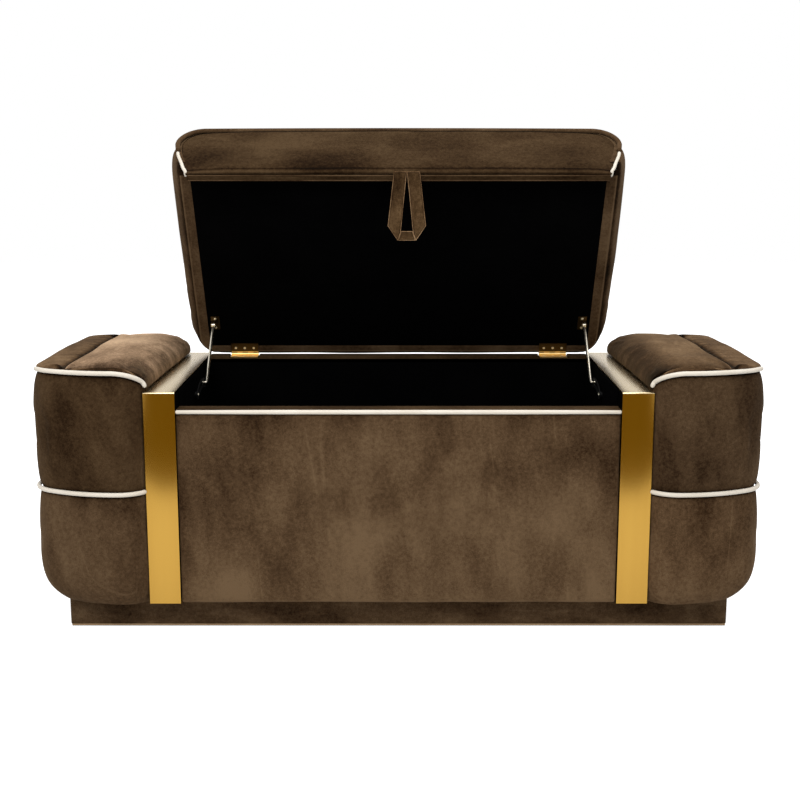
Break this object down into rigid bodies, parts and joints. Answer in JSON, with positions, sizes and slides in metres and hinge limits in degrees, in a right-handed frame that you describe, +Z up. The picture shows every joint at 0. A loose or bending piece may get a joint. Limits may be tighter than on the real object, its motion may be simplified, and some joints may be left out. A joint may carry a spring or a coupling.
{
  "type": "storage ottoman bench",
  "caption": "Velvet storage bench with a hinged padded lid on slotted stays, padded arms with contrast piping, metal bands round the chest and a recessed plinth.",
  "frame": {"origin": "middle of the flat underside, on the floor", "axes": "+X to the right along the bench, +Y to the back where the hinges are, +Z up"},
  "size_m": [1.2004, 0.5275, 0.8211],
  "materials": {
    "velvet": "brushed brown velvet over foam",
    "piping": "smooth cream piping cord",
    "brass": "satin brushed brass strip",
    "hardware_brass": "plain brass hinge and bracket",
    "lining": "black woven lining",
    "plywood": "bare plywood, covered",
    "black_steel": "black painted steel",
    "steel": "plated steel rod"
  },
  "bodies": {
    "bench": {"back_board": "plywood", "back_pad": "velvet", "base_board": "plywood", "base_screws": "hardware_brass", "dust_cover": "lining", "front_board": "plywood", "front_pad": "velvet", "front_piping": "piping", "hinge_pins": "hardware_brass", "left_arm_belt_piping": "piping", "left_arm_border": "velvet", "left_arm_end_boards": "plywood", "left_arm_lower_pad": "velvet", "left_arm_outer_board": "plywood", "left_arm_pillow": "velvet", "left_arm_shelf_boards": "plywood", "left_arm_top_piping": "piping", "left_arm_upper_pad": "velvet", "left_band": "brass", "left_hinge_base_leaf": "hardware_brass", "left_plinth_end_rail": "plywood", "left_side_panel": "plywood", "left_stay_rail": "black_steel", "lining_floor": "lining", "lining_walls": "lining", "plinth_cover": "velvet", "plinth_cross_rails": "plywood", "plinth_front_rail": "plywood", "plinth_rear_rail": "plywood", "right_arm_belt_piping": "piping", "right_arm_border": "velvet", "right_arm_end_boards": "plywood", "right_arm_lower_pad": "velvet", "right_arm_outer_board": "plywood", "right_arm_pillow": "velvet", "right_arm_shelf_boards": "plywood", "right_arm_top_piping": "piping", "right_arm_upper_pad": "velvet", "right_band": "brass", "right_hinge_base_leaf": "hardware_brass", "right_plinth_end_rail": "plywood", "right_side_panel": "plywood", "right_stay_rail": "black_steel"},
    "lid": {"left_hinge_lid_leaf": "hardware_brass", "left_lid_piping": "piping", "left_stay_bracket": "hardware_brass", "lid_apron": "velvet", "lid_board": "plywood", "lid_border": "velvet", "lid_cushion": "velvet", "lid_front_welt": "velvet", "lid_lining": "lining", "lid_screws": "hardware_brass", "right_hinge_lid_leaf": "hardware_brass", "right_lid_piping": "piping", "right_stay_bracket": "hardware_brass"},
    "left_stay": {"left_stay_rod": "steel"},
    "right_stay": {"right_stay_rod": "steel"},
    "strap": {"pull_strap": "velvet"}
  },
  "joints": [
    {"name": "lid_hinge", "type": "hinge", "parent": "bench", "child": "lid", "pos_m": [0, 0.2068, 0.4065], "axis": [-1, 0, 0], "range_deg": [-59.4, 0]},
    {"name": "left_stay_pivot", "type": "hinge", "parent": "lid", "child": "left_stay", "pos_m": [-0.347, 0.16559, 0.46694], "axis": [-1, 0, 0], "range_deg": [0, 88]},
    {"name": "right_stay_pivot", "type": "hinge", "parent": "lid", "child": "right_stay", "pos_m": [0.347, 0.16559, 0.46694], "axis": [-1, 0, 0], "range_deg": [0, 88]},
    {"name": "strap_seam", "type": "hinge", "parent": "lid", "child": "strap", "pos_m": [0.014, -0.03038, 0.75401], "axis": [-1, 0, 0], "range_deg": [0, 67.5]}
  ],
  "couplings": [
    {"joint": "left_stay_pivot", "follows": "lid_hinge", "ratio": -1.4795},
    {"joint": "right_stay_pivot", "follows": "lid_hinge", "ratio": -1.4795},
    {"joint": "strap_seam", "follows": "lid_hinge", "ratio": -1.1347}
  ]
}
